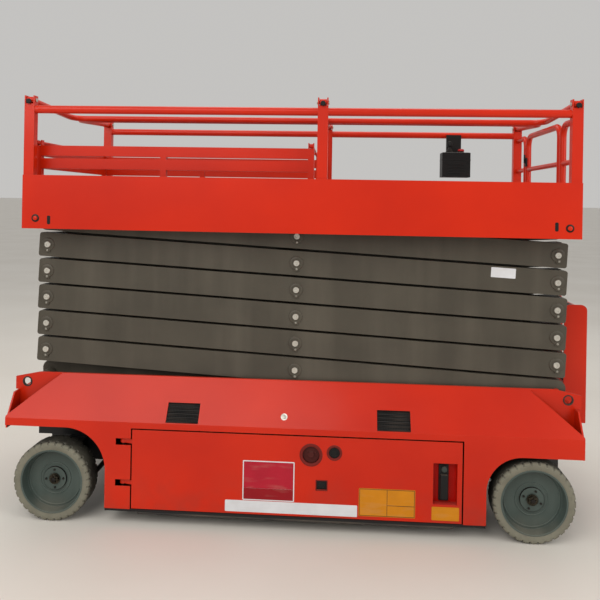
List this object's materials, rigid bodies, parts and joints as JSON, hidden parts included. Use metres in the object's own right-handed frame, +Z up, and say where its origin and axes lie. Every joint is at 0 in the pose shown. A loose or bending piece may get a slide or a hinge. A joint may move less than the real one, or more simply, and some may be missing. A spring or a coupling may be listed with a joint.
{
  "type": "scissor lift",
  "caption": "Self-propelled electric scissor lift, parked: folded arm stack on a wheeled chassis with swing-out trays, slide-out platform and folding guard rails.",
  "frame": {"origin": "on the floor under the middle of its length, half way across", "axes": "+Z up, X along the machine with the steered axle at -X and the ladder end at +X, near side at -Y"},
  "size_m": [2.905, 1.2, 2.0689],
  "materials": {
    "red_paint": "gloss",
    "arm_paint": "satin",
    "dark_paint": "satin",
    "wheel_paint": "satin",
    "grey_tyre": "matte",
    "deck_plate": "satin",
    "cylinder_steel": "polished",
    "casing": "matte"
  },
  "bodies": {
    "chassis": {"chassis_spine": "red_paint", "lug_wall_near": "red_paint", "lug_wall_far": "red_paint", "side_cover_near": "red_paint", "side_cover_far": "red_paint", "base_pivots": "red_paint", "slide_tracks": "dark_paint", "back_axle": "dark_paint", "front_axle": "dark_paint", "ladder": "red_paint"},
    "knuckle_near": {"knuckle_near": "dark_paint"},
    "wheel_front_near": {"tyre_front_near": "grey_tyre", "rim_front_near": "wheel_paint"},
    "wheel_back_near": {"tyre_back_near": "grey_tyre", "rim_back_near": "wheel_paint"},
    "knuckle_far": {"knuckle_far": "dark_paint"},
    "wheel_front_far": {"tyre_front_far": "grey_tyre", "rim_front_far": "wheel_paint"},
    "wheel_back_far": {"tyre_back_far": "grey_tyre", "rim_back_far": "wheel_paint"},
    "tie_rod": {"tie_rod": "dark_paint"},
    "tray_near": {"tray_near": "red_paint", "batteries": "casing"},
    "tray_far": {"tray_far": "red_paint", "power_unit": "dark_paint"},
    "pothole_guard_near": {"pothole_guard_near": "dark_paint"},
    "pothole_guard_far": {"pothole_guard_far": "dark_paint"},
    "outer_1": {"outer_arms_1": "arm_paint"},
    "inner_1": {"inner_arms_1": "arm_paint"},
    "outer_2": {"outer_arms_2": "arm_paint"},
    "inner_2": {"inner_arms_2": "arm_paint"},
    "outer_3": {"outer_arms_3": "arm_paint"},
    "inner_3": {"inner_arms_3": "arm_paint"},
    "outer_4": {"outer_arms_4": "arm_paint"},
    "inner_4": {"inner_arms_4": "arm_paint"},
    "outer_5": {"outer_arms_5": "arm_paint"},
    "inner_5": {"inner_arms_5": "arm_paint"},
    "outer_6": {"outer_arms_6": "arm_paint"},
    "inner_6": {"inner_arms_6": "arm_paint"},
    "cylinder_lower": {"lift_barrel_lower": "dark_paint"},
    "rod_lower": {"lift_rod_lower": "cylinder_steel"},
    "cylinder_upper": {"lift_barrel_upper": "dark_paint"},
    "rod_upper": {"lift_rod_upper": "cylinder_steel"},
    "platform": {"platform_deck": "red_paint", "platform_panel_near": "red_paint", "platform_panel_far": "red_paint", "side_guard_near": "red_paint", "side_guard_far": "red_paint", "back_guard": "red_paint", "control_box": "casing"},
    "top_frame_near": {"top_frame_near": "red_paint"},
    "top_frame_far": {"top_frame_far": "red_paint"},
    "gate": {"gate": "red_paint"},
    "extension": {"extension_deck": "deck_plate", "extension_guard": "red_paint"},
    "extension_frame_near": {"extension_frame_near": "red_paint"},
    "extension_frame_far": {"extension_frame_far": "red_paint"}
  },
  "joints": [
    {"name": "lift", "type": "hinge", "parent": "chassis", "child": "outer_1", "pos_m": [1.2245, 0, 0.669], "axis": [0, 1, 0], "range_deg": [0, 44.7]},
    {"name": "lift_inner_2", "type": "hinge", "parent": "outer_1", "child": "inner_2", "pos_m": [-1.30903, 0, 0.8016], "axis": [0, 1, 0], "range_deg": [-89.9, 0]},
    {"name": "lift_outer_3", "type": "hinge", "parent": "inner_2", "child": "outer_3", "pos_m": [1.2245, 0, 0.9342], "axis": [0, 1, 0], "range_deg": [0, 89.9]},
    {"name": "lift_inner_4", "type": "hinge", "parent": "outer_3", "child": "inner_4", "pos_m": [-1.30903, 0, 1.0668], "axis": [0, 1, 0], "range_deg": [-89.9, 0]},
    {"name": "lift_outer_5", "type": "hinge", "parent": "inner_4", "child": "outer_5", "pos_m": [1.2245, 0, 1.1994], "axis": [0, 1, 0], "range_deg": [0, 89.9]},
    {"name": "lift_inner_6", "type": "hinge", "parent": "outer_5", "child": "inner_6", "pos_m": [-1.30903, 0, 1.332], "axis": [0, 1, 0], "range_deg": [-89.9, 0]},
    {"name": "platform_level", "type": "hinge", "parent": "inner_6", "child": "platform", "pos_m": [1.2245, 0, 1.4646], "axis": [0, 1, 0], "range_deg": [0, 45]},
    {"name": "cross_1", "type": "hinge", "parent": "outer_1", "child": "inner_1", "pos_m": [-0.04227, 0, 0.7353], "axis": [0, 1, 0], "range_deg": [-89.9, 0]},
    {"name": "cross_2", "type": "hinge", "parent": "inner_2", "child": "outer_2", "pos_m": [-0.04227, 0, 0.8679], "axis": [0, 1, 0], "range_deg": [0, 89.9]},
    {"name": "cross_3", "type": "hinge", "parent": "outer_3", "child": "inner_3", "pos_m": [-0.04227, 0, 1.0005], "axis": [0, 1, 0], "range_deg": [-89.9, 0]},
    {"name": "cross_4", "type": "hinge", "parent": "inner_4", "child": "outer_4", "pos_m": [-0.04227, 0, 1.1331], "axis": [0, 1, 0], "range_deg": [0, 89.9]},
    {"name": "cross_5", "type": "hinge", "parent": "outer_5", "child": "inner_5", "pos_m": [-0.04227, 0, 1.2657], "axis": [0, 1, 0], "range_deg": [-89.9, 0]},
    {"name": "cross_6", "type": "hinge", "parent": "inner_6", "child": "outer_6", "pos_m": [-0.04227, 0, 1.3983], "axis": [0, 1, 0], "range_deg": [0, 89.9]},
    {"name": "cylinder_lower_swing", "type": "hinge", "parent": "inner_1", "child": "cylinder_lower", "pos_m": [0.50698, 0, 0.76405], "axis": [0, 1, 0], "range_deg": [0, 99.97]},
    {"name": "cylinder_lower_stroke", "type": "slide", "parent": "cylinder_lower", "child": "rod_lower", "axis": [-0.9968, 0, 0.0802], "range_m": [0, 0.3222]},
    {"name": "cylinder_upper_swing", "type": "hinge", "parent": "inner_4", "child": "cylinder_upper", "pos_m": [0.50698, 0, 1.16185], "axis": [0, 1, 0], "range_deg": [0, 99.97]},
    {"name": "cylinder_upper_stroke", "type": "slide", "parent": "cylinder_upper", "child": "rod_upper", "axis": [-0.9968, 0, 0.0802], "range_m": [0, 0.3222]},
    {"name": "steer_near", "type": "hinge", "parent": "chassis", "child": "knuckle_near", "pos_m": [-1.2075, -0.425, 0.19], "axis": [0, 0, 1], "range_deg": [-50, 50]},
    {"name": "steer_far", "type": "hinge", "parent": "chassis", "child": "knuckle_far", "pos_m": [-1.2075, 0.425, 0.19], "axis": [0, 0, 1], "range_deg": [-50.5, 50.5]},
    {"name": "tie_rod_end", "type": "hinge", "parent": "knuckle_near", "child": "tie_rod", "pos_m": [-1.0875, -0.425, 0.14], "axis": [0, 0, 1], "range_deg": [-50.5, 50.5]},
    {"name": "roll_front_near", "type": "hinge", "parent": "knuckle_near", "child": "wheel_front_near", "pos_m": [-1.2075, -0.5315, 0.1905], "axis": [0, 1, 0], "continuous": true},
    {"name": "roll_back_near", "type": "hinge", "parent": "chassis", "child": "wheel_back_near", "pos_m": [1.0925, -0.5315, 0.1905], "axis": [0, 1, 0], "continuous": true},
    {"name": "roll_front_far", "type": "hinge", "parent": "knuckle_far", "child": "wheel_front_far", "pos_m": [-1.2075, 0.5315, 0.1905], "axis": [0, 1, 0], "continuous": true},
    {"name": "roll_back_far", "type": "hinge", "parent": "chassis", "child": "wheel_back_far", "pos_m": [1.0925, 0.5315, 0.1905], "axis": [0, 1, 0], "continuous": true},
    {"name": "tray_near_swing", "type": "hinge", "parent": "chassis", "child": "tray_near", "pos_m": [-0.8575, -0.57, 0.2], "axis": [0, 0, -1], "range_deg": [0, 95]},
    {"name": "tray_far_swing", "type": "hinge", "parent": "chassis", "child": "tray_far", "pos_m": [-0.8575, 0.57, 0.2], "axis": [0, 0, 1], "range_deg": [0, 95]},
    {"name": "pothole_near", "type": "hinge", "parent": "chassis", "child": "pothole_guard_near", "pos_m": [-0.0575, -0.5863, 0.06], "axis": [1, 0, 0], "range_deg": [-90, 0]},
    {"name": "pothole_far", "type": "hinge", "parent": "chassis", "child": "pothole_guard_far", "pos_m": [-0.0575, 0.5863, 0.06], "axis": [1, 0, 0], "range_deg": [0, 90]},
    {"name": "fold_near", "type": "hinge", "parent": "platform", "child": "top_frame_near", "pos_m": [-0.0575, -0.552, 2.048], "axis": [1, 0, 0], "range_deg": [0, 92.9]},
    {"name": "fold_far", "type": "hinge", "parent": "platform", "child": "top_frame_far", "pos_m": [-0.0575, 0.552, 2.048], "axis": [-1, 0, 0], "range_deg": [0, 92.9]},
    {"name": "extend", "type": "slide", "parent": "platform", "child": "extension", "axis": [-1, 0, 0], "range_m": [0, 0.9]},
    {"name": "extension_fold_near", "type": "hinge", "parent": "extension", "child": "extension_frame_near", "pos_m": [-0.0575, -0.465, 1.845], "axis": [1, 0, 0], "range_deg": [0, 90.5]},
    {"name": "extension_fold_far", "type": "hinge", "parent": "extension", "child": "extension_frame_far", "pos_m": [-0.0575, 0.465, 1.845], "axis": [-1, 0, 0], "range_deg": [0, 90.5]},
    {"name": "gate_swing", "type": "hinge", "parent": "platform", "child": "gate", "pos_m": [1.2715, -0.342, 1.8], "axis": [0, 0, 1], "range_deg": [0, 90]}
  ],
  "couplings": [
    {"joint": "lift_inner_2", "follows": "lift", "ratio": -2},
    {"joint": "lift_outer_3", "follows": "lift", "ratio": 2},
    {"joint": "lift_inner_4", "follows": "lift", "ratio": -2},
    {"joint": "lift_outer_5", "follows": "lift", "ratio": 2},
    {"joint": "lift_inner_6", "follows": "lift", "ratio": -2},
    {"joint": "platform_level", "follows": "lift", "ratio": 1},
    {"joint": "cross_1", "follows": "lift", "ratio": -2},
    {"joint": "cross_2", "follows": "lift", "ratio": 2},
    {"joint": "cross_3", "follows": "lift", "ratio": -2},
    {"joint": "cross_4", "follows": "lift", "ratio": 2},
    {"joint": "cross_5", "follows": "lift", "ratio": -2},
    {"joint": "cross_6", "follows": "lift", "ratio": 2},
    {"joint": "cylinder_lower_swing", "follows": "lift", "ratio": 2.2253},
    {"joint": "cylinder_lower_stroke", "follows": "lift", "m_per_rad": 0.40914},
    {"joint": "cylinder_upper_swing", "follows": "lift", "ratio": 2.2253},
    {"joint": "cylinder_upper_stroke", "follows": "lift", "m_per_rad": 0.40914},
    {"joint": "steer_far", "follows": "steer_near", "ratio": 1},
    {"joint": "tie_rod_end", "follows": "steer_near", "ratio": -1},
    {"joint": "pothole_near", "follows": "lift", "ratio": -2},
    {"joint": "pothole_far", "follows": "lift", "ratio": 2},
    {"joint": "extension_fold_near", "follows": "fold_near", "ratio": 0.96878},
    {"joint": "extension_fold_far", "follows": "fold_far", "ratio": 0.96878}
  ]
}
